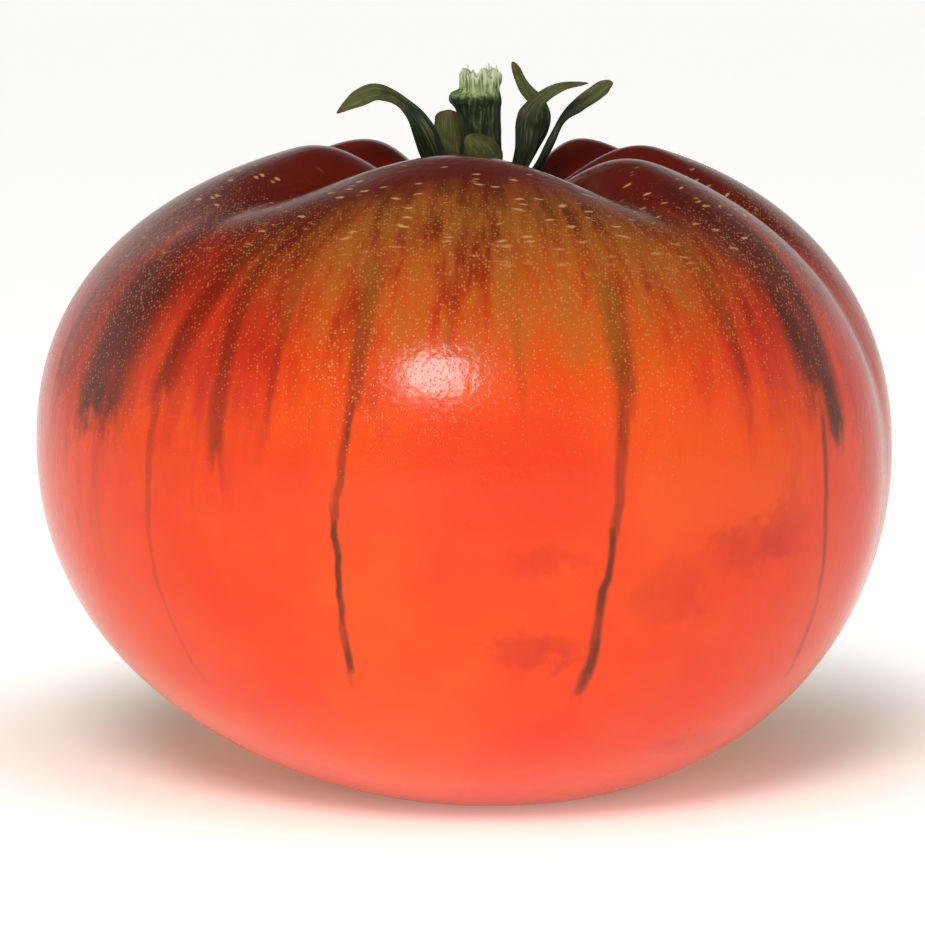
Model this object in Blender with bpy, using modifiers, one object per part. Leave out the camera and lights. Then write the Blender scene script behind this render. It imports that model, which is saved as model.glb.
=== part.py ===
"""A ribbed heirloom tomato: the fruit, its cut stem and the sepals that stand round the stem's foot.

Metres, +Z up. The fruit rests on z = 0, and the origin is under the middle of its width and depth.
An azimuth is in degrees from the front, -Y, and grows towards the right, +X. A polar angle is in
radians from the top of the fruit, at the stem, down to the blossom end.
"""

import math

import bmesh
import bpy
from mathutils import Vector

MM = 0.001

# The fruit's driving dimensions.
FRUIT_WIDTH = 100 * MM
FRUIT_DEPTH = 97 * MM
FRUIT_HEIGHT = 75.8 * MM  # from the surface it rests on to its highest shoulder

# The fruit's outline before it is fitted to those dimensions: two superellipses that meet at the equator.
RADIUS = 50 * MM
UPPER_HEIGHT = 37.5 * MM
LOWER_HEIGHT = 42.5 * MM
UPPER_FULLNESS = 2.25  # 2 is an ellipse, and more is squarer
LOWER_FULLNESS = 2.04
TOP_LEAN = 1.7 * MM  # how far towards +X the stem end stands
BOTTOM_LEAN = 3.4 * MM  # how far towards +X the blossom end stands
FLAT_SPOT_DEPTH = 1.4 * MM  # how much of the round bottom the resting spot takes away

# The basin round the stem, and the ribs. Each row is the azimuth of the groove that a rib starts in, the
# rib's fullness, and the polar angle, in degrees, where that groove ends.
BASIN_DEPTH = 10.8 * MM
BASIN_RADIUS = 21 * MM
BASIN_REACH = 0.55  # how much further the basin runs out along a groove
GROOVE_DEPTH = 3.2 * MM
RIBS = (
    (-110, 1.0, 118),
    (-52, 0.93, 52),
    (38, 0.78, 54),
    (78, 0.95, 118),
    (120, 1.0, 118),
    (158, 0.35, 118),
    (200, 1.0, 118),
)
RIB_ROUNDNESS = 0.65  # below 1 the ribs are broader and the grooves narrower
GROOVE_ROUNDING = 0.2  # 0 is a knife-cut groove
GROOVE_START = 26  # the polar angle, in degrees, where the grooves are full depth

# The fruit's mesh. Its rings are crowded towards both ends.
SEGMENTS = 72
RINGS = 44
RING_CROWDING = 0.4

# The stem, from the basin's floor up.
CLEARANCE = 0.3 * MM  # the gap between pieces that touch on the plant
STEM_RADIUS = 2.4 * MM
STEM_HEIGHT = 16.8 * MM
STEM_PROFILE = (  # height as a share of the stem's, then radius and shift to +X as shares of its radius
    (0.00, 0.30, 0.00),
    (0.06, 1.30, 0.00),
    (0.13, 1.25, 0.00),
    (0.24, 1.04, 0.00),
    (0.45, 0.96, 0.02),
    (0.68, 1.00, 0.00),
    (0.76, 1.20, -0.20),
    (0.83, 1.16, -0.18),
    (0.88, 0.98, 0.00),
    (1.00, 0.92, 0.02),
)

# The sepals. Each row is a point on a sepal's middle line, in millimetres from the foot of the stem
# (across to +X, back to +Y, up), and the sepal's width there. At its base a sepal faces away from the
# stem. At its tip it faces as given.
SEPAL_THICKNESS = 0.8 * MM
SEPAL_ACROSS = 4
SEPAL_ALONG = 14
SEPALS = {
    "sepal_left": {
        "route": (
            (-3.45, -1.75, 1.7, 3.1),
            (-5.0, -2.3, 7.3, 4.4),
            (-6.7, -2.5, 11.1, 2.9),
            (-9.0, -2.6, 13.7, 1.4),
            (-11.6, -2.9, 14.5, 2.0),
            (-13.9, -3.2, 13.8, 2.1),
            (-16.4, -3.5, 12.3, 0.8),
        ),
        "tip_faces": (0.1, -1.0, 0.5),
    },
    "sepal_left_stub": {
        "route": ((-2.8, 2.6, 1.7, 2.6), (-3.8, 3.5, 6.0, 3.2), (-3.8, 3.5, 12.6, 2.8)),
        "tip_faces": (-0.5, -1.0, 0.2),
    },
    "sepal_front": {
        "route": (
            (-0.1, -3.85, 1.6, 2.4),
            (0.6, -4.9, 5.2, 4.0),
            (0.2, -5.6, 7.8, 4.2),
            (-1.5, -6.1, 9.8, 1.4),
        ),
        "tip_faces": (0.0, -1.0, 0.2),
    },
    "sepal_right_front": {
        "route": (
            (2.95, -2.5, 1.6, 2.3),
            (4.9, -2.9, 7.6, 2.8),
            (5.5, -2.9, 11.2, 2.9),
            (6.6, -2.9, 13.3, 1.8),
            (9.2, -3.0, 15.1, 1.2),
            (12.6, -3.2, 15.7, 0.4),
        ),
        "tip_faces": (0.0, -1.0, 0.4),
    },
    "sepal_right_back": {
        "route": (
            (2.7, 2.75, 1.6, 2.3),
            (5.9, 3.3, 7.6, 2.0),
            (7.3, 3.5, 10.7, 1.9),
            (6.9, 3.5, 12.8, 2.0),
            (5.0, 3.4, 15.1, 1.7),
            (3.8, 3.3, 18.0, 0.8),
        ),
        "tip_faces": (0.6, -1.0, 0.2),
    },
    "sepal_right": {
        "route": (
            (3.9, 0.0, 1.7, 1.9),
            (7.7, 0.3, 7.4, 1.8),
            (9.6, 0.4, 11.1, 1.2),
            (11.8, 0.4, 13.0, 2.0),
            (14.2, 0.4, 14.7, 2.1),
            (15.5, 0.4, 15.7, 1.0),
        ),
        "tip_faces": (-0.5, -1.0, 0.5),
    },
    "sepal_back": {
        "route": ((0.0, 3.9, 1.4, 2.5), (0.0, 6.4, 5.6, 2.8), (0.0, 10.0, 8.4, 2.4), (0.0, 14.6, 9.4, 0.8)),
        "tip_faces": (0.0, -1.0, 1.2),
    },
}

FRUIT_SKIN = ((0.62, 0.10, 0.035), 0.3)  # base colour and roughness
STEM_GREEN = ((0.055, 0.085, 0.035), 0.65)
SEPAL_GREEN = ((0.09, 0.14, 0.04), 0.6)


def clear_scene():
    for obj in list(bpy.data.objects):
        bpy.data.objects.remove(obj)


def material(name, finish):
    colour, roughness = finish
    made = bpy.data.materials.new(name)
    made.use_nodes = True
    shader = made.node_tree.nodes["Principled BSDF"]
    shader.inputs["Base Color"].default_value = (*colour, 1)
    shader.inputs["Roughness"].default_value = roughness
    shader.inputs["Metallic"].default_value = 0
    return made


def smooth_step(low, high, value):
    share = min(1, max(0, (value - low) / (high - low)))
    return share * share * (3 - 2 * share)


def rib_at(azimuth):
    """The rib's height, from 0 in a groove to 1 on a full crest, and where its grooves end."""
    first = RIBS[0][0]
    angle = (azimuth - first) % 360 + first
    following = (*RIBS[1:], (first + 360, *RIBS[0][1:]))
    for (start, fullness, groove_end), (end, _, next_groove_end) in zip(RIBS, following):
        if angle <= end:
            share = (angle - start) / (end - start)
            rise = math.hypot(math.sin(math.pi * share), GROOVE_ROUNDING) - GROOVE_ROUNDING
            full_rise = math.hypot(1, GROOVE_ROUNDING) - GROOVE_ROUNDING
            height = fullness * (rise / full_rise) ** RIB_ROUNDNESS
            return height, groove_end + (next_groove_end - groove_end) * smooth_step(0, 1, share)


def skin_point(direction):
    """Where the fruit's skin lies in this direction from its middle, before it is fitted to size."""
    crowded = math.acos(max(-1, min(1, direction.z)))
    polar = crowded - RING_CROWDING / 2 * math.sin(2 * crowded)
    azimuth = math.atan2(direction.x, -direction.y)
    upper = polar < math.pi / 2
    power = 2 / (UPPER_FULLNESS if upper else LOWER_FULLNESS)
    reach = abs(math.sin(polar)) ** power
    rise = abs(math.cos(polar)) ** power
    radius = RADIUS * reach
    height = UPPER_HEIGHT * rise if upper else -LOWER_HEIGHT * rise

    rib, groove_end = rib_at(math.degrees(azimuth))
    hollow = 1 - rib
    down = math.degrees(polar)
    fade = smooth_step(0, GROOVE_START, down) * (1 - smooth_step(GROOVE_START, groove_end, down))
    groove = GROOVE_DEPTH * hollow * fade
    basin_share = min(1, radius / (BASIN_RADIUS * (1 + BASIN_REACH * hollow)))
    basin = BASIN_DEPTH * (1 + math.cos(math.pi * basin_share)) / 2 if upper else 0
    radius -= groove * math.sin(polar)
    height -= groove * math.cos(polar) + basin

    lean = (TOP_LEAN if upper else BOTTOM_LEAN) * abs(math.cos(polar)) ** 2.5
    return Vector((radius * math.sin(azimuth) + lean, -radius * math.cos(azimuth), height))


def fit_to_size(mesh):
    """Stretches the mesh to the driving dimensions, and stands it on z = 0 with its middle at the origin."""
    low = [min(v.co[k] for v in mesh.verts) for k in range(3)]
    high = [max(v.co[k] for v in mesh.verts) for k in range(3)]
    sizes = (FRUIT_WIDTH, FRUIT_DEPTH, FRUIT_HEIGHT + FLAT_SPOT_DEPTH)
    starts = (-FRUIT_WIDTH / 2, -FRUIT_DEPTH / 2, -FLAT_SPOT_DEPTH)
    for v in mesh.verts:
        v.co = Vector(starts[k] + (v.co[k] - low[k]) / (high[k] - low[k]) * sizes[k] for k in range(3))


def flatten_resting_spot(mesh):
    """Cuts the round bottom off at z = 0 and closes the cut with one flat face."""
    everything = [*mesh.verts, *mesh.edges, *mesh.faces]
    cut = bmesh.ops.bisect_plane(
        mesh, geom=everything, plane_co=(0, 0, 0), plane_no=(0, 0, 1), clear_inner=True
    )
    rim = [e for e in cut["geom_cut"] if isinstance(e, bmesh.types.BMEdge)]
    bmesh.ops.edgeloop_fill(mesh, edges=rim)
    bmesh.ops.recalc_face_normals(mesh, faces=mesh.faces)


def add_object(name, mesh, finish):
    data = bpy.data.meshes.new(name)
    mesh.to_mesh(data)
    mesh.free()
    made = bpy.data.objects.new(name, data)
    data.materials.append(finish)
    data.shade_smooth()
    data.set_sharp_from_angle(angle=math.radians(50))
    tomato.objects.link(made)
    return made


def add_fruit(finish):
    """The fruit's one solid. Returns the middle of its basin's floor, where the stem stands."""
    mesh = bmesh.new()
    bmesh.ops.create_uvsphere(mesh, u_segments=SEGMENTS, v_segments=RINGS, radius=1)
    top = max(mesh.verts, key=lambda v: v.co.z)
    for v in mesh.verts:
        v.co = skin_point(v.co)
    fit_to_size(mesh)
    floor = top.co.copy()
    flatten_resting_spot(mesh)
    add_object("fruit", mesh, finish)
    return floor


def add_stem(foot, finish):
    """A round stalk with a flared foot, a swollen joint near the top and a flat cut end."""
    curve = bpy.data.curves.new("stem", "CURVE")
    curve.dimensions = "3D"
    curve.bevel_depth = STEM_RADIUS
    curve.bevel_resolution = 3
    curve.use_fill_caps = True
    spline = curve.splines.new("POLY")
    spline.points.add(len(STEM_PROFILE) - 1)
    for point, (height, width, shift) in zip(spline.points, STEM_PROFILE):
        point.co = (STEM_RADIUS * shift, 0, STEM_HEIGHT * height, 1)
        point.radius = width
    curve.materials.append(finish)
    stem = bpy.data.objects.new("stem", curve)
    stem.location = foot + Vector((0, 0, CLEARANCE))
    tomato.objects.link(stem)


def along(rows, share):
    """A smooth curve through these rows of numbers, which passes the first at 0 and the last at 1."""
    ends = [2 * rows[0] - rows[1], *rows, 2 * rows[-1] - rows[-2]]
    place = share * (len(rows) - 1)
    step = min(int(place), len(rows) - 2)
    a, b, c, d = ends[step : step + 4]
    t = place - step
    return (2 * b + (c - a) * t + (2 * a - 5 * b + 4 * c - d) * t**2 + (3 * b - a - 3 * c + d) * t**3) / 2


def add_sepal(name, foot, shape, finish):
    """A narrow leaf: a strip that follows its route and narrows to its tip, thickened to a solid."""
    rows = [Vector(row) * MM for row in shape["route"]]
    base_faces = Vector((rows[0].x, rows[0].y, 0)).normalized()
    tip_faces = Vector(shape["tip_faces"]).normalized()
    if base_faces.dot(tip_faces) < 0:
        base_faces.negate()
    mesh = bmesh.new()
    bmesh.ops.create_grid(mesh, x_segments=SEPAL_ACROSS, y_segments=SEPAL_ALONG, size=1)
    for v in mesh.verts:
        share = (v.co.y + 1) / 2
        row = along(rows, share)
        ahead = (along(rows, min(1, share + 0.01)) - along(rows, max(0, share - 0.01))).xyz
        across = ahead.cross(base_faces.lerp(tip_faces, smooth_step(0, 0.6, share))).normalized()
        v.co = foot + row.xyz + across * row.w / 2 * v.co.x
    sepal = add_object(name, mesh, finish)
    shell = sepal.modifiers.new("thickness", "SOLIDIFY")
    shell.thickness = SEPAL_THICKNESS
    shell.offset = 0
    shell.use_even_offset = True


clear_scene()
tomato = bpy.data.collections.new("tomato")
bpy.context.scene.collection.children.link(tomato)
stem_foot = add_fruit(material("fruit_skin", FRUIT_SKIN))
add_stem(stem_foot, material("stem_green", STEM_GREEN))
sepal_green = material("sepal_green", SEPAL_GREEN)
for sepal_name, sepal_shape in SEPALS.items():
    add_sepal(sepal_name, stem_foot, sepal_shape, sepal_green)
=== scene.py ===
# %% [markdown]
# # A ribbed heirloom tomato
# The CAD model says how big every piece is and where it stands: one fruit, one stem, seven sepals.
# This lesson gives them their looks: a fine, ribbed skin with its streaks and specks, a stem that ends
# in torn fibres, and sepals that curl and dry at their tips.

# %% The tools and the frame
import math
import random

import bmesh
import bpy
import numpy as np
from mathutils import Matrix, Vector, noise


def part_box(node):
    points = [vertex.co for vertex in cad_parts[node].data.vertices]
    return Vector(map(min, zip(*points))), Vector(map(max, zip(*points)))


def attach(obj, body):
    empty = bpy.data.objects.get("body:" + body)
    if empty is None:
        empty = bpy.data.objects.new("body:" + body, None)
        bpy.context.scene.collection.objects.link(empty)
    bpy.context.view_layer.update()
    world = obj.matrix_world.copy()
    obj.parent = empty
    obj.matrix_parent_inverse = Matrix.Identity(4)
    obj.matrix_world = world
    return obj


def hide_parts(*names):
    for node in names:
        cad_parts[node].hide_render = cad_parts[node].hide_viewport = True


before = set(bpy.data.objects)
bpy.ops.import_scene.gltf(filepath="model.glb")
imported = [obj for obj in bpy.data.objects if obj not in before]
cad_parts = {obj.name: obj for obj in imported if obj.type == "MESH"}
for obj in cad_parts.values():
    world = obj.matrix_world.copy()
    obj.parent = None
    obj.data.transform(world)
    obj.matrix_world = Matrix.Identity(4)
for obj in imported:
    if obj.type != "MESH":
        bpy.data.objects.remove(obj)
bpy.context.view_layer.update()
MM = 0.001

# %% [markdown]
# ## How a surface is written
# Blender draws a material from a net of nodes, which is slow to read. Here a small class wraps a node's
# output, so that a pattern can be written as a sum: `1 - mask` or `spots * depth` adds its own nodes.
# One method, `node`, adds every other kind: its settings go in first, and then its sockets.


# %% Sums of sockets
class Value:
    """A node's output that takes part in Python sums."""

    def __init__(self, graph, socket):
        self.graph = graph
        self.socket = socket

    def math(self, operation, *others, first=None):
        sockets = dict(enumerate((self if first is None else first, *others)))
        return self.graph.node("Math", sockets, operation=operation)

    def __add__(self, other):
        return self.math("ADD", other)

    def __sub__(self, other):
        return self.math("SUBTRACT", other)

    def __mul__(self, other):
        return self.math("MULTIPLY", other)

    def __truediv__(self, other):
        return self.math("DIVIDE", other)

    def __pow__(self, other):
        return self.math("POWER", other)

    def __rsub__(self, other):
        return self.math("SUBTRACT", self, first=other)

    __radd__ = __add__
    __rmul__ = __mul__

    def rise(self, low, high):
        """0 below low and 1 above high, with a smooth step between them. It falls if low is above high."""
        sockets = {"Value": self, "From Min": low, "From Max": high}
        if low > high:
            sockets = {"Value": self, "From Min": high, "From Max": low, "To Min": 1, "To Max": 0}
        return self.graph.node("MapRange", sockets, interpolation_type="SMOOTHSTEP")


class Graph:
    """Writes the nodes of one material, or of the world."""

    def __init__(self, owner, shader="Principled BSDF", **constants):
        owner.use_nodes = True
        self.owner = owner
        self.tree = owner.node_tree
        self.shader = self.tree.nodes[shader]
        self.place = self.node("TexCoord", output="Object" if shader == "Principled BSDF" else "Generated")
        for socket, value in constants.items():
            self.shader.inputs[socket.replace("_", " ")].default_value = value

    def node(self, kind, sockets=(), output=0, **settings):
        made = self.tree.nodes.new("ShaderNode" + kind)
        for name, value in settings.items():
            setattr(made, name, value)
        for name, value in dict(sockets).items():
            self.feed(made.inputs[name], value)
        return Value(self, made.outputs[output])

    def feed(self, socket, value):
        if isinstance(value, Value):
            self.tree.links.new(value.socket, socket)
        else:
            socket.default_value = value

    def paint(self, **sockets):
        for name, value in sockets.items():
            self.feed(self.shader.inputs[name.replace("_", " ")], value)

    def mix(self, share, below, above):
        """The colour below with the colour above laid over it."""
        below, above = (c if isinstance(c, Value) else (*c, 1) for c in (below, above))
        return self.node("Mix", {0: share, 6: below, 7: above}, output=2, data_type="RGBA")

    def parts(self, vector):
        return [self.node("SeparateXYZ", {0: vector}, output=axis) for axis in "XYZ"]

    def joined(self, x, y, z):
        return self.node("CombineXYZ", {"X": x, "Y": y, "Z": z})

    def stretched(self, vector, factors):
        return self.node("VectorMath", {0: vector, 1: factors}, operation="MULTIPLY")

    def clouds(self, vector, scale, detail=2.0, roughness=0.5):
        sockets = {"Vector": vector, "Scale": scale, "Detail": detail, "Roughness": roughness}
        return self.node("TexNoise", sockets, output="Fac")

    def bump(self, height, depth):
        """Small relief: height is 0 to 1, and depth is how much that is, in metres."""
        return self.node("Bump", {"Height": height, "Distance": depth, "Strength": 1.0}, output="Normal")


print("a socket takes part in sums as a", Value.__name__, "and a material is written by a", Graph.__name__)

# %% [markdown]
# ## The fruit's shape
# A big tomato is a squashed ball, but each of its ribs is a seed chamber that has swollen. The ribs are
# high on the shoulder and die out below the middle, and the stem pulls a basin into the top.
# A ball could be sculpted by hand. Here each point of a fine ball is moved by the same rule as in the CAD
# model, so both have the same size and ribs, and only the fine mesh shows the soft rims.

# %% The rule for the skin
FLAT_SPOT_DEPTH = 1.4 * MM
RADIUS, UPPER_HEIGHT, LOWER_HEIGHT = 50 * MM, 37.5 * MM, 42.5 * MM
UPPER_FULLNESS, LOWER_FULLNESS = 2.25, 2.04
TOP_LEAN, BOTTOM_LEAN = 1.7 * MM, 3.4 * MM
BASIN_DEPTH, BASIN_RADIUS, BASIN_REACH = 10.8 * MM, 21 * MM, 0.55
RIBS = (  # the azimuth of the groove that the rib starts in, its fullness, and how far down the groove ends
    (-110, 1.0, 118),
    (-52, 0.93, 52),
    (38, 0.78, 54),
    (78, 0.95, 118),
    (120, 1.0, 118),
    (158, 0.35, 118),
    (200, 1.0, 118),
)
RIB_ROUNDNESS, GROOVE_ROUNDING, GROOVE_DEPTH, GROOVE_START = 0.65, 0.2, 3.2 * MM, 26
RING_CROWDING = 0.4
LEAN_POWER = 2.5  # the higher it is, the nearer to its two ends the fruit starts to lean
SLOW_DENTS, QUICK_DENTS = 0.16, 0.035  # the height of the skin's unevenness, in millimetres


def smooth_step(low, high, value):
    share = np.clip((value - low) / (high - low), 0, 1)
    return share * share * (3 - 2 * share)


def rib_at(azimuth):
    """The rib's height, from 0 in a groove to 1 on a full crest, and where its grooves end, in degrees."""
    first = RIBS[0][0]
    angle = (azimuth - first) % 360 + first
    height, groove_end = np.zeros_like(angle), np.zeros_like(angle)
    for (start, fullness, here), (end, _, there) in zip(RIBS, (*RIBS[1:], (first + 360, *RIBS[0][1:]))):
        share = (angle - start) / (end - start)
        inside = (share >= 0) & (share < 1)
        rise = np.hypot(np.sin(np.pi * share), GROOVE_ROUNDING) - GROOVE_ROUNDING
        full_rise = math.hypot(1, GROOVE_ROUNDING) - GROOVE_ROUNDING
        height = np.where(inside, fullness * (rise / full_rise) ** RIB_ROUNDNESS, height)
        groove_end = np.where(inside, here + (there - here) * smooth_step(0, 1, share), groove_end)
    return height, groove_end


def unevenness(azimuth, polar):
    """The slow dents and swellings that no real fruit is without, in metres."""
    slow = np.sin(3 * azimuth + 0.8) * np.sin(2 * polar + 0.4)
    slow = slow + 0.7 * np.sin(5 * azimuth + 2.1) * np.sin(3 * polar)
    quick = np.sin(11 * azimuth + 1.0 + 2 * polar) * np.sin(5 * polar + 1.9)
    quick = quick + np.sin(17 * azimuth) * np.sin(4 * polar)
    return (SLOW_DENTS * slow + QUICK_DENTS * quick) * MM * np.sin(polar) ** 2


def skin_points(ball):
    """Moves the points of a ball of radius 1 to the skin, before it is fitted to size."""
    crowded = np.arccos(np.clip(ball[:, 2], -1, 1))
    polar = crowded - RING_CROWDING / 2 * np.sin(2 * crowded)
    azimuth = np.arctan2(ball[:, 0], -ball[:, 1])
    upper = polar < np.pi / 2
    power = np.where(upper, 2 / UPPER_FULLNESS, 2 / LOWER_FULLNESS)
    radius = RADIUS * np.abs(np.sin(polar)) ** power
    height = np.abs(np.cos(polar)) ** power * np.where(upper, UPPER_HEIGHT, -LOWER_HEIGHT)
    rib, groove_end = rib_at(np.degrees(azimuth))
    hollow = 1 - rib
    down = np.degrees(polar)
    fade = smooth_step(0, GROOVE_START, down) * (1 - smooth_step(GROOVE_START, groove_end, down))
    groove = GROOVE_DEPTH * hollow * fade - unevenness(azimuth, polar)
    basin_share = np.minimum(1, radius / (BASIN_RADIUS * (1 + BASIN_REACH * hollow)))
    basin = np.where(upper, BASIN_DEPTH * (1 + np.cos(np.pi * basin_share)) / 2, 0)
    radius = radius - groove * np.sin(polar)
    height = height - groove * np.cos(polar) - basin
    lean = np.where(upper, TOP_LEAN, BOTTOM_LEAN) * np.abs(np.cos(polar)) ** LEAN_POWER
    return np.stack([radius * np.sin(azimuth) + lean, -radius * np.cos(azimuth), height], 1)


print(len(RIBS), "ribs, with grooves up to", round(GROOVE_DEPTH / MM, 1), "mm deep")

# %% [markdown]
# ## The fruit's mesh
# The skin has no corners, so its mesh is fine: a face is less than a millimetre wide. The mesh is
# stretched to the CAD model's box, and its foot is pressed flat, as a ripe fruit's own weight does it.
# Each point also gets its place on a flat map of the skin, so that the colours can be stored there.

# %% The fruit's mesh
FRUIT_SEGMENTS, FRUIT_RINGS = 360, 200
FOOT_SOFTNESS = 0.4 * MM  # how gently the skin turns into its flat resting spot

fruit_low, fruit_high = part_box("fruit")


def mesh_data(name, mesh):
    data = bpy.data.meshes.new(name)
    mesh.to_mesh(data)
    mesh.free()
    data.shade_smooth()
    return data


def piece(name, data, material, node):
    """Makes the piece that stands for a CAD node."""
    made = bpy.data.objects.new(name, data)
    bpy.context.scene.collection.objects.link(made)
    data.materials.append(material)
    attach(made, "root")
    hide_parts(node)
    print(name, "has", sum(len(f.vertices) - 2 for f in data.polygons), "triangles")
    return made


def lay_map(data, ball):
    """A map of the skin: round the fruit from left to right, and from its foot up to its stem."""
    corners = np.zeros(len(data.loops), dtype=int)
    data.loops.foreach_get("vertex_index", corners)
    starts = np.zeros(len(data.polygons), dtype=int)
    data.polygons.foreach_get("loop_start", starts)
    sizes = np.diff([*starts, len(corners)])
    place = ball[corners]
    middle = np.repeat(np.add.reduceat(place, starts), sizes, axis=0)
    home = np.arctan2(middle[:, 0], -middle[:, 1])
    at_end = np.hypot(place[:, 0], place[:, 1]) < 1e-6
    turn = (np.arctan2(place[:, 0], -place[:, 1]) - home + np.pi) % math.tau - np.pi
    u = (home + np.where(at_end, 0, turn)) / math.tau + 0.5
    v = 1 - np.arccos(np.clip(place[:, 2], -1, 1)) / np.pi
    data.uv_layers.new(name="OFBake").data.foreach_set("uv", np.stack([u, v], 1).ravel())


fruit_mesh = bmesh.new()
bmesh.ops.create_uvsphere(fruit_mesh, u_segments=FRUIT_SEGMENTS, v_segments=FRUIT_RINGS, radius=1)
fruit_data = mesh_data("tomato_fruit", fruit_mesh)
ball = np.zeros(3 * len(fruit_data.vertices))
fruit_data.vertices.foreach_get("co", ball)
ball = ball.reshape(-1, 3)
lay_map(fruit_data, ball)
points = skin_points(ball)
fit_low = np.array([fruit_low.x, fruit_low.y, -FLAT_SPOT_DEPTH])
fit_high = np.array(fruit_high)
points = fit_low + (points - points.min(0)) / np.ptp(points, axis=0) * (fit_high - fit_low)
points[:, 2] = (points[:, 2] + np.hypot(points[:, 2], FOOT_SOFTNESS)) / 2
fruit_data.vertices.foreach_set("co", points.ravel())
foot = Vector(points[np.argmax(ball[:, 2])])
print("the stem stands at", [round(v / MM, 2) for v in foot])

# %% [markdown]
# ## The skin
# The colour is in the flesh just under a thin, clear, waxy skin. The lower half has ripened to orange
# red. The shoulders stay dark, maroon to olive brown, and the dark runs down in streaks that follow the
# lines from stem to foot. Tiny gold specks and short corky dashes lie over it.
# A painted image could do this, but it would hold one view only. Here every mark is placed by two
# angles: how far round the fruit it is, and how far down from the stem.

# %% Where on the skin
SKIN_MIDDLE = 42 * MM  # the height of the fruit's widest ring

RIPE_ORANGE = (0.68, 0.066, 0.004)
RIPE_RED = (0.64, 0.026, 0.004)
SHOULDER_RED = (0.42, 0.018, 0.008)
MAROON = (0.095, 0.008, 0.003)
OLIVE = (0.31, 0.115, 0.016)
BROWN = (0.100, 0.018, 0.006)
GOLD = (0.58, 0.23, 0.045)
CORK = (0.62, 0.33, 0.13)

skin = Graph(
    bpy.data.materials.new("tomato_skin"),
    Specular_IOR_Level=0.24,
    Subsurface_Weight=0.12,
    Subsurface_Radius=(1.0, 0.25, 0.1),
    Subsurface_Scale=3 * MM,
)
x, y, z = skin.parts(skin.place)
side = x - TOP_LEAN
reach = (side * side + y * y) ** 0.5
down = skin.node("Math", {0: reach, 1: z - SKIN_MIDDLE}, operation="ARCTAN2") * math.degrees(1)
around = skin.node("Math", {0: side, 1: y * -1}, operation="ARCTAN2") * math.degrees(1)
wander = skin.clouds(skin.place, 60, 3, 0.6) - 0.5
ragged = skin.clouds(skin.place, 420, 3, 0.6) - 0.5
flow = skin.joined(side / reach, y / reach, down / 220)  # stretched along the lines from stem to foot
flames = skin.clouds(flow, 5.5, 3, 0.6)
threads = skin.clouds(flow, 19.0, 3, 0.65)
streaky = flames * 0.55 + threads * 0.45
wavy_around = around + wander * 3.0 + ragged * 0.5
ragged_down = down + ragged * 8 + (threads - 0.5) * 14
print("the skin's pattern is laid out by angles")

# %% [markdown]
# ## Ground colours
# The ground is laid from below: ripe orange with soft red clouds, then the red of the shoulder, then its
# maroon. Both reach further down at the sides than in front, and threads break up their lower edges.

# %% The ground colours
FRONT, FRONT_HALF = 3, 25  # the paler front's azimuth and half-width
FRONT_LIFT = 20  # how much higher up the shoulder's red ends in front
RED_THINS, RED_ENDS = 66, 96  # the angles down at which the red starts to thin out, and is gone
MAROON_THINS, MAROON_ENDS = 46, 74

blush = skin.clouds(skin.place, 38, 3, 0.55).rise(0.35, 0.7)
ground = skin.mix(blush * 0.8, RIPE_ORANGE, RIPE_RED)
front = (around - FRONT).math("ABSOLUTE").rise(FRONT_HALF + 12, FRONT_HALF - 14)
shade_edge = down + wander * 16 + front * FRONT_LIFT + (streaky - 0.5) * 90
shoulder_red = shade_edge.rise(RED_ENDS, RED_THINS)
shoulder_dark = (down + front * 4 + wander * 16 + (streaky - 0.5) * 80).rise(MAROON_ENDS, MAROON_THINS)
ground = skin.mix(shoulder_red * 0.85, ground, SHOULDER_RED)
ground = skin.mix(shoulder_dark * 0.92, ground, MAROON)
print("the shoulder's red is gone", RED_ENDS, "degrees down, and", RED_ENDS - FRONT_LIFT, "in front")

# %% [markdown]
# ## Streaks and veins
# Each streak is given by where it starts and ends, how wide it is at both ends, and how strong it is.
# A vein is a streak a degree or so wide. The rule is the same for all of them, so they come from one
# list: first the front's, and then some more for the sides and the back, set out at random.

# %% The list of streaks
STREAKS = [  # azimuth and angle down where it starts, the same where it ends, half-widths, strength
    (-16.0, 60, -17.0, 81, 2.2, 0.9, 0.8),
    (-17.0, 78, -18.6, 96, 0.7, 0.35, 0.9),
    (-18.6, 94, -18.6, 117, 0.35, 0.6, 1.0),
    (19.5, 60, 18.6, 81, 2.4, 1.5, 0.75),
    (18.6, 78, 17.2, 100, 1.0, 0.45, 0.7),
    (17.2, 97, 15.2, 121, 0.5, 0.9, 0.95),
    (-36.5, 46, -45.0, 82, 3.0, 1.8, 0.85),
    (-44.5, 74, -46.5, 98, 0.9, 0.4, 0.4),
    (-46.5, 96, -45.5, 120, 0.3, 0.4, 0.3),
    (-35.5, 58, -34.8, 90, 1.5, 1.1, 0.75),
    (-57.0, 44, -55.0, 68, 3.5, 4.5, 0.85),
    (-55.0, 62, -58.0, 86, 9.0, 6.0, 1.0),
    (-66.0, 52, -68.0, 82, 4.0, 3.0, 0.6),
    (-27.0, 62, -28.0, 82, 1.0, 0.5, 0.5),
    (5.0, 68, 5.5, 80, 0.9, 0.5, 0.25),
    (-4.0, 64, -4.5, 78, 0.8, 0.5, 0.4),
    (36.0, 60, 38.0, 80, 1.6, 0.8, 0.5),
    (48.0, 42, 52.0, 80, 3.4, 3.4, 1.0),
    (53.5, 52, 55.5, 88, 4.4, 1.8, 1.0),
    (52.0, 82, 53.0, 100, 0.7, 0.45, 0.7),
    (53.0, 98, 58.0, 121, 0.45, 0.7, 0.6),
]
chance = random.Random(5)
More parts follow.
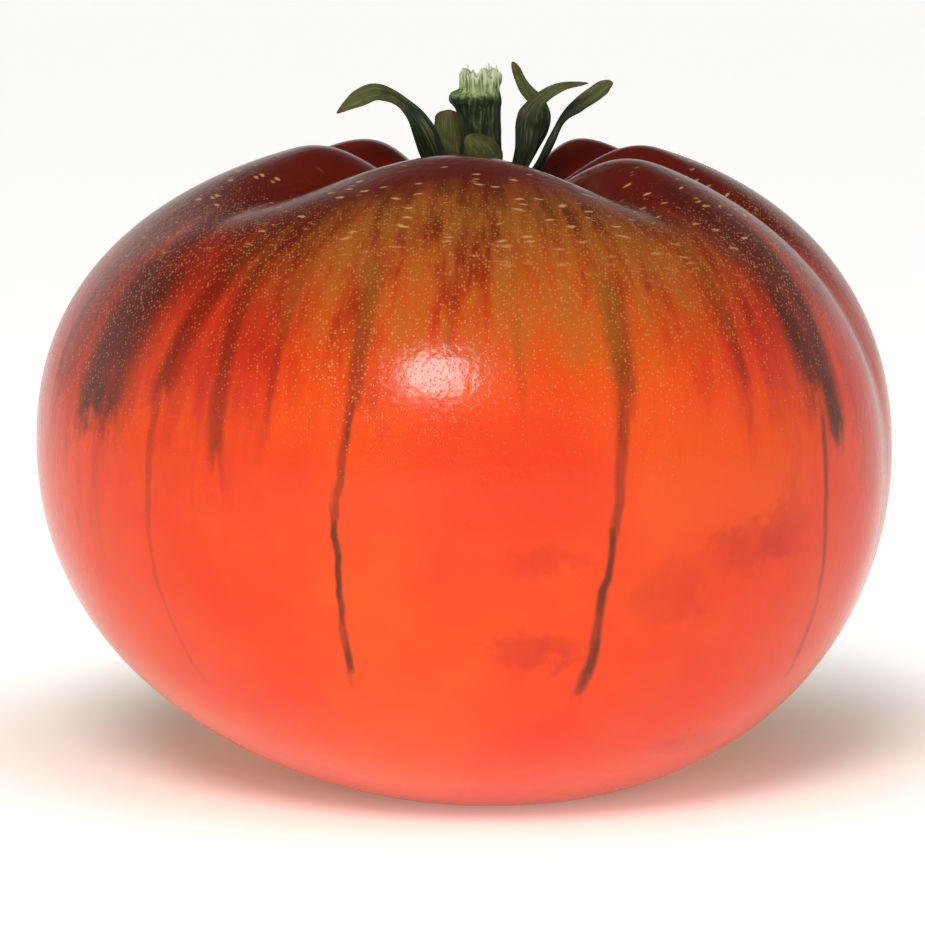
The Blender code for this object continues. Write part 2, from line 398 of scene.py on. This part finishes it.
for place_round in range(74, 296, 20):
    start_round = place_round + chance.uniform(-4, 4)
    start_down, end_down = chance.uniform(42, 58), chance.uniform(74, 116)
    wide = chance.uniform(1.0, 3.2)
    end_round = start_round + chance.uniform(-3, 3)
    strength = chance.uniform(0.5, 0.9)
    STREAKS.append((start_round, start_down, end_round, end_down, wide, wide * 0.35, strength))


def streak(start_round, start_down, end_round, end_down, start_wide, end_wide, strength):
    share = skin.node("MapRange", {"Value": down, "From Min": start_down, "From Max": end_down})
    middle = share * (end_round - start_round) + start_round
    wide = share * (end_wide - start_wide) + start_wide
    across = wavy_around - middle
    if start_round > 150:
        across = across + 360 * (around * -1).rise(0, 1)
    ends = ragged_down.rise(start_down - 5, start_down + 4) * ragged_down.rise(end_down + 3, end_down - 4)
    return (across.math("ABSOLUTE") / wide).rise(1.5, 0.35) * ends * strength


streaks = streak(*STREAKS[0])
for row in STREAKS[1:]:
    streaks = streaks.math("MAXIMUM", streak(*row))
streaks = streaks * (streaky.rise(0.38, 0.55) * 0.45 + 0.55)
ground = skin.mix(streaks, ground, skin.mix(down.rise(92, 68), BROWN, MAROON))
print(len(STREAKS), "streaks")

# %% [markdown]
# ## The olive patch and the blotches
# Where the sun kept the skin green for longest, high on its front, it stays olive gold. A few soft
# blotches lie lower down, most of them on the right, where the flesh ripened unevenly.

# %% The olive patch and the blotches
BLOTCHES = (  # azimuth and angle down, half-width and half-height, strength
    (7.6, 113, 4.5, 2.6, 0.75),
    (37.5, 100, 5.0, 2.6, 0.75),
    (44, 98, 3.5, 3.4, 0.65),
    (26, 105, 5, 4, 0.45),
    (45, 134, 8, 2.4, 0.6),
    (8, 100, 5, 1.6, 0.4),
)


def spot(round_at, down_at, wide, high, strength):
    across = (around + wander * 9 + ragged * 9 - round_at) / wide
    along = (down + wander * 6 + ragged * 7 - down_at) / high
    return (across * across + along * along).rise(2.6, 0.0) * strength * (threads * 1.2 + 0.25)


olive = spot(3, 59, 31, 13.5, 0.9) * streaky.rise(0.30, 0.60)
ground = skin.mix(olive, ground, OLIVE)
for row in BLOTCHES:
    ground = skin.mix(spot(*row) * 0.85, ground, SHOULDER_RED)
print(len(BLOTCHES), "blotches")

# %% [markdown]
# ## Specks and dashes
# The specks are pores filled with cork, a few tenths of a millimetre wide and crowded on the upper
# front. The dashes are hairline cracks, healed with cork, that run round the shoulder. Both come from
# cell patterns: a cell shows a mark only near its middle, and only if its own random number allows it.


# %% The specks and the dashes
FINE_PER_METRE, LARGE_PER_METRE = 3100, 900  # how many specks stand side by side
DASH_WIDE, DASH_HIGH = 4.4, 1.05  # the size of the cell that a dash lies in, in degrees


def cells(vector, scale):
    """The distance from the middle of a cell, and the cell's own random number."""
    sockets = {"Vector": vector, "Scale": scale, "Randomness": 1.0}
    away = skin.node("TexVoronoi", sockets, output="Distance")
    colour = skin.node("TexVoronoi", sockets, output="Color")
    return away, skin.parts(colour)[0]


speck_zone = (down + wander * 30).rise(34, 54) * (down + wander * 40).rise(100, 62)
fine_away, fine_own = cells(skin.place, FINE_PER_METRE)
fine_specks = (fine_own * 0.46 * (speck_zone * 0.9 + 0.1) - fine_away).rise(-0.10, 0.12)
large_away, large_own = cells(skin.place, LARGE_PER_METRE)
large_specks = (large_own.rise(0.70, 1.0) * 0.15 * (speck_zone * 0.6 + 0.4) - large_away).rise(-0.02, 0.05)
specks = (fine_specks * 0.6).math("MAXIMUM", large_specks * 0.75)

dash_place = skin.joined(wavy_around / DASH_WIDE, (down + wander * 7 + ragged * 1.4) / DASH_HIGH, 0)
dash_away, dash_own = cells(dash_place, 1.0)
dash_zone = (down + wander * 20).rise(32, 38) * (down + wander * 24).rise(66, 50)
dashes = dash_away.rise(0.34, 0.12) * dash_own.rise(0.60, 0.74) * dash_zone
ground = skin.mix(specks, ground, GOLD)
ground = skin.mix(dashes * 0.9, ground, CORK)
print("the fine specks are", round(1 / FINE_PER_METRE / MM, 2), "mm apart")

# %% [markdown]
# ## The stem end and the blossom end
# A ring of cork joins the skin to the stem, and a small scar is left where the flower fell off.
# The skin's own surface is finely dimpled, like a peel, which breaks up the edge of every reflection.

# %% The two ends, and the skin's fine relief
DULL_CORK = (0.16, 0.12, 0.045)
WAXY_ROUGHNESS = 0.18
PEEL_PER_METRE, PEEL_DEPTH = 900, 0.06 * MM

stem_cork = (reach + ragged * (2 * MM)).rise(5.5 * MM, 3.5 * MM) * z.rise(60 * MM, 64 * MM)
foot_cork = (reach + ragged * (2 * MM)).rise(4.0 * MM, 2.2 * MM) * z.rise(3 * MM, 1 * MM)
ground = skin.mix(stem_cork.math("MAXIMUM", foot_cork), ground, DULL_CORK)

peel = skin.clouds(skin.place, PEEL_PER_METRE, 2, 0.5)
relief = peel * 0.8 + specks * 0.35 + dashes * 0.5 + stem_cork * ragged
skin.paint(
    Base_Color=ground,
    Roughness=WAXY_ROUGHNESS + specks * 0.15 + dashes * 0.2 + stem_cork * 0.35,
    Normal=skin.bump(relief, PEEL_DEPTH),
)
piece("tomato_fruit", fruit_data, skin.owner, "fruit")

# %% [markdown]
# ## The stem
# The stalk is round with low ridges, thick where it joins the fruit, and swollen at its joint, where
# it was broken off. Above the joint its green skin is gone, and pale torn fibres stand up.
# A turned profile would look like a peg, so a grid is wrapped into a tube, and each of its points is
# moved by the profile, the ridges and a little noise.


# %% Wrapping a grid into a tube
def tube(around_count, along_count, place):
    """A closed skin. place(turn, share) gives a point from the turn round it and the share along it."""
    mesh = bmesh.new()
    bmesh.ops.create_grid(mesh, x_segments=around_count, y_segments=along_count, size=1)
    layer = mesh.loops.layers.uv.new("leaf")
    for face in mesh.faces:
        for loop in face.loops:
            loop[layer].uv = ((loop.vert.co.x + 1) / 2, (loop.vert.co.y + 1) / 2)
    for v in mesh.verts:
        v.co = place(math.pi * (v.co.x + 1), (v.co.y + 1) / 2)
    bmesh.ops.remove_doubles(mesh, verts=mesh.verts, dist=1e-6)
    bmesh.ops.holes_fill(mesh, edges=[e for e in mesh.edges if e.is_boundary])
    bmesh.ops.recalc_face_normals(mesh, faces=mesh.faces)
    return mesh


def along(rows, share):
    """A smooth curve through these rows of numbers, which passes the first at 0 and the last at 1."""
    ends = [2 * rows[0] - rows[1], *rows, 2 * rows[-1] - rows[-2]]
    place = share * (len(rows) - 1)
    step = min(int(place), len(rows) - 2)
    a, b, c, d = ends[step : step + 4]
    t = place - step
    return (2 * b + (c - a) * t + (2 * a - 5 * b + 4 * c - d) * t**2 + (3 * b - a - 3 * c + d) * t**3) / 2


print("a tube is closed round and at both ends, and its course is smooth")

# %% [markdown]
# ## The stem's profile
# The rows follow the stalk's outline from its foot, over the swollen joint, up to its torn rim, and then
# inwards to the middle of the break. The last number says how rough the wood is there.

# %% The stem's shape
STEM_AROUND, STEM_ALONG = 64, 120  # the faces round it and along its outline
STEM_RADIUS = 2.4 * MM
STEM_HEIGHT = 16.8 * MM
STEM_FOOT_SINK = 0.3 * MM
STEM_PROFILE = (  # radius and height as shares, shift to +X, and how torn the surface is there
    (0.60, -0.01, 0.00, 0.0),
    (1.28, 0.05, 0.00, 0.0),
    (1.26, 0.12, 0.00, 0.0),
    (1.05, 0.23, 0.00, 0.0),
    (0.97, 0.44, 0.02, 0.0),
    (0.99, 0.64, 0.00, 0.0),
    (1.06, 0.73, -0.08, 0.1),
    (1.22, 0.78, -0.20, 0.2),
    (1.20, 0.83, -0.18, 0.3),
    (0.98, 0.86, -0.02, 0.5),
    (0.93, 0.92, 0.02, 0.9),
    (0.86, 0.985, 0.02, 1.2),
    (0.60, 0.97, 0.02, 1.2),
    (0.30, 0.95, 0.02, 0.8),
    (0.02, 0.94, 0.02, 0.2),
)
STEM_RIDGES = 7
stem_rows = [Vector(row) for row in STEM_PROFILE]


def stem_point(turn, share):
    radius, height, shift, torn = along(stem_rows, share)
    ridge = 0.05 * math.cos(STEM_RIDGES * turn + 1.6 * height) + 0.03 * math.cos(3 * turn + 0.5)
    away = Vector((math.sin(turn), -math.cos(turn), 0))
    rough = noise.noise(away * 1.7 + Vector((0, 0, 9 * height))) * 0.07 * (1 + 2 * torn)
    spike = noise.noise(away * 4.5 + Vector((3, 0, 2 * height))) * 0.055 * torn
    wide = STEM_RADIUS * max(0.01, radius * (1 + ridge + rough))
    middle = foot + Vector((STEM_RADIUS * shift, 0, STEM_HEIGHT * (height + spike) + STEM_FOOT_SINK))
    return middle + away * wide


stem_mesh = tube(STEM_AROUND, STEM_ALONG, stem_point)
print("the stem has", len(stem_mesh.verts), "points")

# %% [markdown]
# ## Torn fibres
# The stalk's wood is a ring of strings. Where it was torn, each string ends at its own height, so the
# break is a brush of thin points. They are thin cones, set at random round the rim and leaning at random.

# %% The fibres
FIBRES = 120
chance = random.Random(7)
for _ in range(FIBRES):
    turn = chance.uniform(0, math.tau)
    ring = STEM_RADIUS * chance.uniform(0.25, 0.93)
    length = chance.uniform(1.0, 2.3) * MM * (1.2 if abs(math.sin(turn)) > 0.7 else 0.9)
    lean = Vector((chance.gauss(0, 0.12), chance.gauss(0, 0.12), 1)).normalized()
    rooted = STEM_HEIGHT * chance.uniform(0.85, 0.91)
    base = foot + Vector((math.sin(turn) * ring, -math.cos(turn) * ring, rooted))
    turned = lean.to_track_quat("Z", "Y").to_matrix().to_4x4()
    stand = Matrix.Translation(base + lean * length / 2) @ turned
    thick = chance.uniform(0.14, 0.34) * MM
    bmesh.ops.create_cone(
        stem_mesh, cap_ends=True, segments=6, radius1=thick, radius2=thick * 0.25, depth=length, matrix=stand
    )
print(FIBRES, "fibres, so the stem has", len(stem_mesh.verts), "points")

# %% [markdown]
# ## The stem's finish
# The green skin is dark, dull and finely haired, with paler lines along the ridges. The torn wood is
# pale green, nearly white at its points.

# %% The stem's material
STEM_DARK, STEM_MOSS, STEM_STRAW = (0.008, 0.014, 0.005), (0.036, 0.055, 0.018), (0.15, 0.15, 0.05)
WOOD_GREEN, WOOD_PALE, WOOD_WHITE = (0.10, 0.15, 0.04), (0.36, 0.43, 0.20), (0.66, 0.68, 0.50)

bark = Graph(bpy.data.materials.new("tomato_stem_green"), Roughness=0.65, Specular_IOR_Level=0.2)
up = bark.parts(bark.place)[2] - foot.z
grain = bark.clouds(bark.stretched(bark.place, (1, 1, 0.12)), 2600, 3, 0.6)
mottle = bark.clouds(bark.place, 700, 3, 0.6)
green = bark.mix(grain.rise(0.42, 0.66), STEM_DARK, STEM_MOSS)
green = bark.mix((grain * mottle).rise(0.30, 0.42) * 0.7, green, STEM_STRAW)
torn = (up + (mottle - 0.5) * (2.4 * MM)).rise(13.6 * MM, 14.8 * MM)
wood = bark.mix(grain.rise(0.35, 0.6), WOOD_GREEN, WOOD_PALE)
wood = bark.mix((up + (grain - 0.5) * (5 * MM)).rise(15.0 * MM, 17.6 * MM) * 0.8, wood, WOOD_WHITE)
bark.paint(Base_Color=bark.mix(torn, green, wood), Normal=bark.bump(grain * 0.7 + mottle * 0.3, 0.25 * MM))
piece("tomato_stem", mesh_data("tomato_stem", stem_mesh), bark.owner, "stem")

# %% [markdown]
# ## The sepals
# A sepal is a narrow leaf with one thick rib down its middle. As it dries, it curls, its edges roll and
# its tip goes brown. A flat strip with a thickness would look like cut card, so each sepal is a tube
# squeezed to a thin lens: thick at the midrib, thin at its edges, and cupped across.

# %% Where each sepal goes
# Each row: across to +X, back to +Y and up from the stem's foot, and the width there, all in millimetres.
# The three numbers after the rows are the direction that the sepal's tip faces.
SEPALS = {
    "sepal_left": (
        (
            (-3.3, -1.7, 1.2, 3.1),
            (-4.9, -2.3, 7.3, 4.4),
            (-6.8, -2.5, 11.0, 2.5),
            (-9.0, -2.6, 13.4, 1.5),
            (-11.6, -2.9, 14.5, 2.1),
            (-13.9, -3.2, 13.8, 2.1),
            (-16.5, -3.5, 12.2, 0.5),
        ),
        (0.1, -1.0, 0.5),
    ),
    "sepal_left_stub": (
        ((-2.6, 2.4, 1.2, 2.6), (-3.3, 3.5, 6.0, 3.6), (-3.6, 3.4, 12.4, 3.0)),
        (-0.3, -1.0, 0.2),
    ),
    "sepal_front": (
        ((-0.1, -3.6, 1.2, 2.4), (0.6, -4.9, 5.2, 4.0), (0.2, -5.6, 7.8, 4.2), (-1.5, -6.1, 9.8, 1.2)),
        (0.0, -1.0, 0.2),
    ),
    "sepal_right_front": (
        (
            (2.8, -2.4, 1.2, 2.3),
            (4.9, -2.9, 7.6, 2.8),
            (5.5, -2.9, 11.2, 2.9),
            (6.6, -2.9, 13.3, 1.8),
            (9.2, -3.0, 15.1, 1.2),
            (12.6, -3.2, 15.7, 0.3),
        ),
        (0.0, -1.0, 0.4),
    ),
    "sepal_right_back": (
        (
            (2.5, 2.6, 1.2, 2.3),
            (5.9, 3.3, 7.6, 2.0),
            (7.3, 3.5, 10.7, 1.9),
            (6.9, 3.5, 12.8, 2.0),
            (5.0, 3.4, 15.1, 1.7),
            (3.8, 3.3, 18.0, 0.8),
        ),
        (0.6, -1.0, 0.2),
    ),
    "sepal_right": (
        (
            (3.7, 0.0, 1.2, 1.9),
            (7.7, 0.3, 7.4, 1.8),
            (9.6, 0.4, 11.1, 1.2),
            (11.8, 0.4, 13.0, 2.0),
            (14.2, 0.4, 14.7, 2.1),
            (15.5, 0.4, 15.7, 0.9),
        ),
        (-0.5, -1.0, 0.5),
    ),
    "sepal_back": (
        ((0.0, 3.7, 1.0, 2.5), (0.0, 6.4, 5.6, 2.8), (0.0, 10.0, 8.4, 2.4), (0.0, 14.6, 9.4, 0.6)),
        (0.0, -1.0, 1.2),
    ),
}
print(len(SEPALS), "sepals")

# %% [markdown]
# ## The sepals' shape
# Each sepal follows its row of points. Its edges stand up more and more towards the tip, where it has
# dried most, and a little noise makes its outline and its edges uneven.

# %% The sepals' shape
SEPAL_AROUND, SEPAL_ALONG = 32, 90  # the faces round it and along it
SEPAL_RIB, SEPAL_EDGE = 0.42 * MM, 0.13 * MM  # half the thickness at the midrib and at the edge
SEPAL_CUP = 0.22  # how far the edges stand out of the middle, as a share of the half-width


def sepal_mesh(route, tip_faces, seed):
    rows = [Vector(row) * MM for row in route]
    base_faces = Vector((rows[0].x, rows[0].y, 0)).normalized()
    tip_faces = Vector(tip_faces).normalized()
    if base_faces.dot(tip_faces) < 0:
        base_faces.negate()

    def place(turn, share):
        row = along(rows, share)
        ahead = (along(rows, min(1, share + 0.01)) - along(rows, max(0, share - 0.01))).xyz.normalized()
        facing = base_faces.lerp(tip_faces, float(smooth_step(0, 0.6, share)))
        across = ahead.cross(facing).normalized()
        out = across.cross(ahead)
        side, front = math.cos(turn), math.sin(turn)
        blunt = math.sqrt(max(0, 1 - max(0, (share - 0.93) / 0.07) ** 2)) * 0.98 + 0.02
        wave = 1 + 0.10 * noise.noise(Vector((seed, share * 9, 2 * side)))
        half = row.w / 2 * wave * blunt
        at_rib = math.exp(-((side / 0.35) ** 2))
        thick = (SEPAL_EDGE + (SEPAL_RIB - SEPAL_EDGE) * at_rib) * (1.15 - 0.4 * share) * blunt
        curl = half * SEPAL_CUP * (1 + share) * side * side
        ripple = 0.22 * MM * noise.noise(Vector((seed + 5, share * 7, side))) * side * side
        return foot + row.xyz + across * half * side + out * (thick * front + curl + ripple)

    return tube(SEPAL_AROUND, SEPAL_ALONG, place)


print("a sepal is about", round(2 * SEPAL_RIB / MM, 2), "mm thick at its rib")

# %% [markdown]
# ## The sepals' finish
# Near the stem they are a dark, dull green, partly their fresher colour and partly painted shade. Further
# out they turn olive as they dry, with brown flecks, and the tips are dry and brown. Fine lines run along
# them.

# %% The sepals' material
# LEAF_DARK_AND_SHADED is partly the sepals' own fresh green and partly painted shade near the stem
LEAF_DARK_AND_SHADED, LEAF_OLIVE, LEAF_PALE = (0.007, 0.014, 0.005), (0.066, 0.076, 0.017), (0.20, 0.20, 0.06)
LEAF_BROWN, LEAF_DRY = (0.060, 0.030, 0.010), (0.12, 0.06, 0.022)

leaf = Graph(bpy.data.materials.new("tomato_sepal_green"), Roughness=0.6, Specular_IOR_Level=0.25)
leaf_uv = leaf.node("UVMap", uv_map="leaf")
u, v_along = leaf.parts(leaf_uv)[:2]
mottle = leaf.clouds(leaf.place, 520, 4, 0.6)
flecks = leaf.clouds(leaf.place, 1500, 3, 0.6)
lines = leaf.clouds(leaf.joined(u * 26, v_along * 2.5, 0), 2.0, 2, 0.5)
# painted shade: darker near the stem, partly the sepal's fresher green, lighter olive further out
outer = (v_along + (mottle - 0.5) * 0.6).rise(0.42, 0.78)
green = leaf.mix(outer, LEAF_DARK_AND_SHADED, LEAF_OLIVE)
green = leaf.mix(lines.rise(0.52, 0.72) * 0.45, green, LEAF_PALE)
green = leaf.mix((mottle * 0.6 + flecks * 0.4).rise(0.50, 0.62) * outer * 0.65, green, LEAF_BROWN)
dry = (v_along + (flecks - 0.5) * 0.16).rise(0.92, 1.0)
leaf.paint(Base_Color=leaf.mix(dry, green, LEAF_DRY), Normal=leaf.bump(lines * 0.5 + flecks * 0.5, 0.12 * MM))

for seed, (node, (route, tip_faces)) in enumerate(SEPALS.items()):
    data = mesh_data("tomato_" + node, sepal_mesh(route, tip_faces, seed * 11.0))
    piece("tomato_" + node, data, leaf.owner, node)

# %% [markdown]
# ## The floor and the backdrop
# The floor is a wide, pale, matt sheet of paper. Its glow is painted light from no lamp,
# so it stays white far behind the fruit. Near the fruit the glow drops to a faint, warm one: a painted
# shadow, soft, with painted warm bounce light in it. Past the floor's edge a pale dome closes the view.
# Only the camera sees the dome, so it adds no light of its own.

# %% The floor and the backdrop
FLOOR_HALF, DOME_RADIUS = 12.0, 16.0
PAINTED_SHADOW_MIDDLE = (0, 0.035, 0)  # the middle of the painted shadow, back from the fruit's middle, as the key lamp throws it
GLOW_STARTS, GLOW_FULL = 0.03, 0.09  # metres from there, where the painted shadow gives way to the full painted glow
# painted light: the floor's glow colour, dim and warm in the painted shadow, white away from it
PAINTED_SHADOW_GLOW, PAINTED_FLOOR_GLOW = (0.16, 0.12, 0.07), (0.99, 1.0, 0.99)
PAPER_WARM, PAPER_PALE = (0.94, 0.88, 0.79), (0.96, 0.90, 0.81)
DOME_GREY, DOME_WHITE = (0.97, 0.96, 0.95), (1.0, 0.99, 0.98)


def staged(name, mesh, material):
    made = bpy.data.objects.new(name, mesh_data(name, mesh))
    made.data.materials.append(material)
    bpy.context.scene.collection.objects.link(made)
    return made


# the floor's emission is painted light, and it is dimmed near the fruit as a painted shadow
paper = Graph(
    bpy.data.materials.new("pale_floor_painted_glow"), Roughness=0.8, Specular_IOR_Level=0.1, Emission_Strength=0.74
)
tone = paper.clouds(paper.place, 40, 2, 0.5)
from_shadow = paper.node("VectorMath", {0: paper.place, 1: PAINTED_SHADOW_MIDDLE}, operation="SUBTRACT")
away = paper.node("VectorMath", {0: from_shadow}, output="Value", operation="LENGTH")
paper.paint(
    Base_Color=paper.mix(tone, PAPER_WARM, PAPER_PALE),
    Emission_Color=paper.mix(away.rise(GLOW_STARTS, GLOW_FULL), PAINTED_SHADOW_GLOW, PAINTED_FLOOR_GLOW),
)
floor_mesh = bmesh.new()
bmesh.ops.create_grid(floor_mesh, x_segments=8, y_segments=8, size=FLOOR_HALF)
staged("floor", floor_mesh, paper.owner)

wall = Graph(
    bpy.data.materials.new("pale_backdrop"),
    Base_Color=(0, 0, 0, 1),
    Specular_IOR_Level=0.0,
    Emission_Strength=1.0,
)
haze = wall.clouds(wall.place, 0.2, 2, 0.5)
wall.paint(Emission_Color=wall.mix(haze, DOME_GREY, DOME_WHITE))
dome_mesh = bmesh.new()
bmesh.ops.create_uvsphere(dome_mesh, u_segments=48, v_segments=24, radius=DOME_RADIUS)
dome = staged("backdrop_dome", dome_mesh, wall.owner)
dome.visible_diffuse = dome.visible_glossy = dome.visible_transmission = dome.visible_shadow = False
print("the floor is", 2 * FLOOR_HALF, "m wide")

# %% [markdown]
# ## The light
# The room has pale walls and a dark ceiling. The walls give the fruit its pale rims, and the ceiling
# keeps its shoulders dark, because that is what they mirror. One soft lamp stands above the viewer and a
# little to the left, and makes the one bright reflection.

# %% The lamp and the room
LAMP_AZIMUTH, LAMP_ELEVATION = -8, 32
LAMP_AWAY, LAMP_WIDE, LAMP_POWER = 0.8, 0.24, 4.1  # metres, metres and watts
WALLS, CEILING = (1.0, 0.98, 0.94), (0.10, 0.10, 0.10)

fruit_middle = (fruit_low + fruit_high) / 2


def direction(azimuth, elevation):
    """From the fruit: azimuth 0 is the front, and grows to the right."""
    a, e = math.radians(azimuth), math.radians(elevation)
    return Vector((math.sin(a) * math.cos(e), -math.cos(a) * math.cos(e), math.sin(e)))


def aimed(name, data, place, target):
    """Puts a lamp or a camera at this place, and turns it to look at the target."""
    made = bpy.data.objects.new(name, data)
    made.location = place
    made.rotation_euler = (target - place).to_track_quat("-Z", "Y").to_euler()
    bpy.context.scene.collection.objects.link(made)
    return made


lamp = bpy.data.lights.new("key_lamp", "AREA")
lamp.shape = "DISK"
lamp.size = LAMP_WIDE
lamp.energy = LAMP_POWER
lamp_place = fruit_middle + direction(LAMP_AZIMUTH, LAMP_ELEVATION) * LAMP_AWAY
aimed("key_lamp", lamp, lamp_place, fruit_middle)
room = Graph(bpy.data.worlds.new("soft_room"), "Background", Strength=0.78)
height = room.parts(room.place)[2]
room.paint(Color=room.mix(height.rise(0.2, 0.7), WALLS, CEILING))
bpy.context.scene.world = room.owner
bpy.context.scene.view_settings.view_transform = "Standard"
print("the lamp stands at", [round(v, 2) for v in lamp_place], "m")

# %% [markdown]
# ## The camera
# It looks along +Y from a little above the fruit's middle, through a long lens, so that the fruit
# fills most of the frame.

# %% The camera
CAMERA_ELEVATION, CAMERA_AWAY, CAMERA_LENS = 7.0, 0.5, 166

aim = fruit_middle + Vector((-0.3 * MM, 0, 0.6 * MM))
camera_data = bpy.data.cameras.new("camera")
camera_data.lens = CAMERA_LENS
camera_place = aim + direction(0, CAMERA_ELEVATION) * CAMERA_AWAY
bpy.context.scene.camera = aimed("camera", camera_data, camera_place, aim)
print("the camera stands at", [round(v, 2) for v in camera_place], "m")
